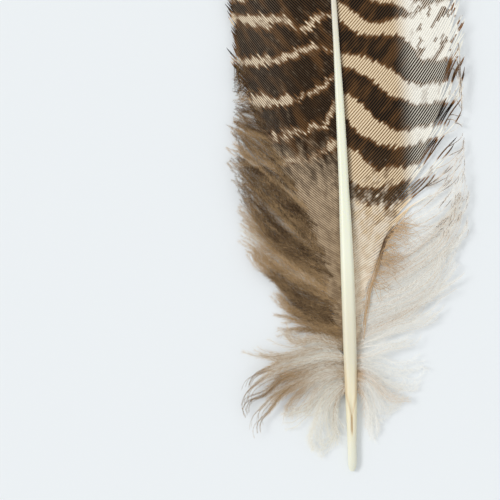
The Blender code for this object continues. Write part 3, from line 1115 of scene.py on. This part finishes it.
def add_fold(mesher):
    """The curled-over lower edge of the right web: a bundle of brown strands along it."""
    path_along, path_across = on_fold(np.linspace(0, len(RIGHT_FOLD) - 1, FOLD_STEPS + 1))
    for _ in range(FOLD_STRANDS):
        along, across, run = resample(path_along, path_across, FOLD_STEPS)
        first = int(RNG.integers(0, FOLD_STEPS // 2))
        last = int(RNG.integers(FOLD_STEPS * 3 // 4, FOLD_STEPS))
        along = along[first:last]
        across = across[first:last]
        run = run[first:last] - run[first]
        square = square_to(along, across)
        off = RNG.normal(0, 0.22) + 0.15 * np.sin(run * RNG.uniform(0.3, 0.7) + RNG.uniform(*ANY_PHASE))
        along = along + square[0] * off
        across = across + square[1] * off
        z = 0.75 + RNG.uniform(0, 0.5) + 0.3 * np.sin(run * 0.3)
        points, faces = flat_strip(RIGHT, along, across, z, square, FOLD_HALF_WIDTH)
        tone = 0.5 - 0.45 * smooth(along, *FOLD_DARKENING) + RNG.normal(0, 0.08)
        mesher.add(points, faces, np.full((len(points), 2), FOLD_MAP_LANE), tone=np.tile(tone, 2))


def add_curls(mesher):
    """A tan tuft of short curled strands on the upper part of the fold."""
    share = np.linspace(0, 1, CURL_STEPS + 1)
    for _ in range(CURL_STRANDS):
        start_along, start_across = on_fold(CURL_RNG.uniform(CURL_FROM, len(RIGHT_FOLD) - 1))
        long = CURL_RNG.uniform(*CURL_LENGTHS)
        bend = np.linspace(0, 1, CURL_STEPS) ** 1.3
        heading = CURL_RNG.uniform(*CURL_HEADINGS) + CURL_RNG.normal(0, 0.9) * bend
        heading = heading + 0.35 * np.sin(np.linspace(0, 6, CURL_STEPS) + CURL_RNG.uniform(*ANY_PHASE))
        along = start_along + running(np.cos(heading)) * long / CURL_STEPS
        across = start_across + running(np.sin(heading)) * long / CURL_STEPS
        z = 0.6 + CURL_RNG.uniform(0.3, 1.3) * np.sin(np.pi * share ** 0.8) + lift(along, across)
        half = CURL_HALF_WIDTH * (1 - 0.7 * share)
        points, faces = flat_strip(RIGHT, along, across, z, square_to(along, across), half)
        tone = CURL_RNG.uniform(*CURL_TONES) + 0.08 * share
        mesher.add(points, faces, np.full((len(points), 2), CURL_MAP_LANE), tone=np.tile(tone, 2))


def make_down(side, material, firm_barbs):
    """All the loose barbs of one side, gathered in locks that wave together."""
    roots = barb_roots(side, DOWN_START, DOWN_END[side])
    mesher = Mesher("tone")
    strands = [int(between(FLUFF[side], root, 1) + RNG.random()) for root in roots]
    total = sum(strands)
    number = 0
    lock = {"left": 0}
    for root, layers in zip(roots, strands):
        if lock["left"] <= 0:
            lock = new_lock(side, root, int(RNG.integers(*LOCK_SIZES)))
        lock["left"] -= 1
        firm = None
        if root > BARE_QUILL_END:
            firm = firm_barbs[min(firm_barbs, key=lambda r: abs(r - root))]
        for _ in range(layers):
            add_down_barb(mesher, side, number, total, root, firm, lock)
            number += 1
    if side == RIGHT:
        add_fold(mesher)
        add_curls(mesher)
    return mesher.build("down_" + SIDE_NAMES[side], material)


# Shaft

def fuller(value):
    """A sine or cosine that rounds a ring slightly less than a circle would."""
    return np.sign(value) * np.abs(value) ** CORNER_FULLNESS


def shaft_ring(along, turn):
    """One ring of the shaft: its points, how far across each is, and how brown the slit is there."""
    half = between(SHAFT_WIDTHS, along) / 2
    tall = half * SHAFT_FLATNESS
    middle = SHAFT_BOTTOM + max(tall, QUILL_END_HEIGHT * (1 - along / QUILL_END_LENGTH))
    across = half * fuller(np.cos(turn))
    height = middle + tall * fuller(np.sin(turn))
    is_top = np.sin(turn) > 0

    groove_width = GROOVE_WIDTH * half
    groove = GROOVE_DEPTH * half * smooth(along, *GROOVE_FADE) * np.exp(-((across / groove_width) ** 2))
    pit_width = PIT_WIDTH + PIT_WIDENING * smooth(along, *PIT_WIDENING_FADE)
    pit = PIT_DEPTH * window(along, PIT_START, PIT_END) * np.exp(-((across / pit_width) ** 2))
    height = np.where(is_top, height - groove - pit, height) + lift(along, 0)

    line_place = 0.82 * half * smooth(along, *PIT_LINE_SPREAD)
    line_width = 0.16 + 0.1 * line_place
    lines = 0.5 * np.exp(-(((np.abs(across) - line_place) / line_width) ** 2))
    lines = lines * window(along, PIT_LINE_START, PIT_LINE_END)
    slit = np.exp(-((across / SLIT_WIDTH) ** 2)) * window(along, SLIT_START, SLIT_END)
    brown = np.where(is_top, np.clip(lines + slit, 0, 1), 0)
    return place(np.full(SHAFT_SIDES, along), across, height), across / max(half, 0.01), brown


def make_shaft(material):
    """The smooth tapered shaft, grooved along its top, with the pit where the vane begins."""
    rounded_end = [0, 0.12, 0.35, 0.7, 1.2, 2]
    stops = np.concatenate([rounded_end, np.linspace(3, 30, 55), np.linspace(31, SHAFT_END, 150)])
    turn = 2 * np.pi * np.arange(SHAFT_SIDES) / SHAFT_SIDES - np.pi / 2
    rings = [shaft_ring(along, turn) for along in stops]
    points, tops, slits = [np.concatenate(values) for values in zip(*rings)]
    faces = grid_faces(len(stops), SHAFT_SIDES, closed=True)
    faces.append(tuple(reversed(range(SHAFT_SIDES))))
    faces.append(tuple(range(len(points) - SHAFT_SIDES, len(points))))
    mesher = Mesher("along", "top", "slit")
    half_way = SHAFT_SIDES / 2
    around = np.tile(np.abs(np.arange(SHAFT_SIDES) - half_way) / half_way, len(stops))
    uv = np.stack([np.repeat(stops / SHAFT_END, SHAFT_SIDES), around], axis=-1)
    mesher.add(points, faces, uv, along=np.repeat(stops, SHAFT_SIDES), top=tops, slit=slits)
    return mesher.build("shaft", material)


# Camera, floor and light

def make_camera():
    """A camera straight above, which shows one photo pixel for each of its own."""
    data = bpy.data.cameras.new("camera")
    data.lens = LENS
    data.sensor_width = SENSOR
    data.clip_start = 0.01
    camera = new_object("camera", data)
    distance = IMAGE_SIDE * PIXEL * LENS / SENSOR + CAMERA_CLEARANCE
    camera.location = (VIEW_CENTRE[0] * MM, VIEW_CENTRE[1] * MM, distance * MM)
    camera.rotation_euler = (0, 0, CAMERA_TURN)
    bpy.context.scene.camera = camera


def make_floor():
    """A plain pale floor, which isn't part of the feather."""
    material, _, shader = new_material("floor", 0.9)
    shader.inputs["Base Color"].default_value = colour(FLOOR)
    mesh = bpy.data.meshes.new("floor")
    corners = [(-1, -1), (1, -1), (1, 1), (-1, 1)]
    points = [(x * FLOOR_HALF_SIDE, y * FLOOR_HALF_SIDE, 0) for x, y in corners]
    mesh.from_pydata(points, [], [(0, 1, 2, 3)])
    mesh.materials.append(material)
    new_object("floor", mesh)


def make_light():
    """An even pale sky, and a wide soft window light from the left."""
    world = bpy.data.worlds.new("studio")
    world.use_nodes = True
    background = world.node_tree.nodes["Background"]
    background.inputs["Color"].default_value = SKY_COLOUR
    background.inputs["Strength"].default_value = SKY_STRENGTH
    bpy.context.scene.world = world
    data = bpy.data.lights.new("window", "SUN")
    data.energy = WINDOW_ENERGY
    data.angle = WINDOW_SPREAD
    new_object("window", data).rotation_euler = WINDOW_TURN
    bpy.context.scene.view_settings.view_transform = "Standard"


def main():
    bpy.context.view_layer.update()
    make_camera()
    make_floor()
    make_light()

    pieces = [(make_shaft(shaft_material()), "shaft")]
    firm_barbs = {}
    for side in (RIGHT, LEFT):
        vane, firm_barbs[side] = make_vane(side, vane_material(side))
        pieces.append((vane, "vane"))
    for side in (RIGHT, LEFT):
        pieces.append((make_down(side, down_material(side), firm_barbs[side]), "down"))

    for piece, slot in pieces:
        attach(piece, "root")
        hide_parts("feather")


main()
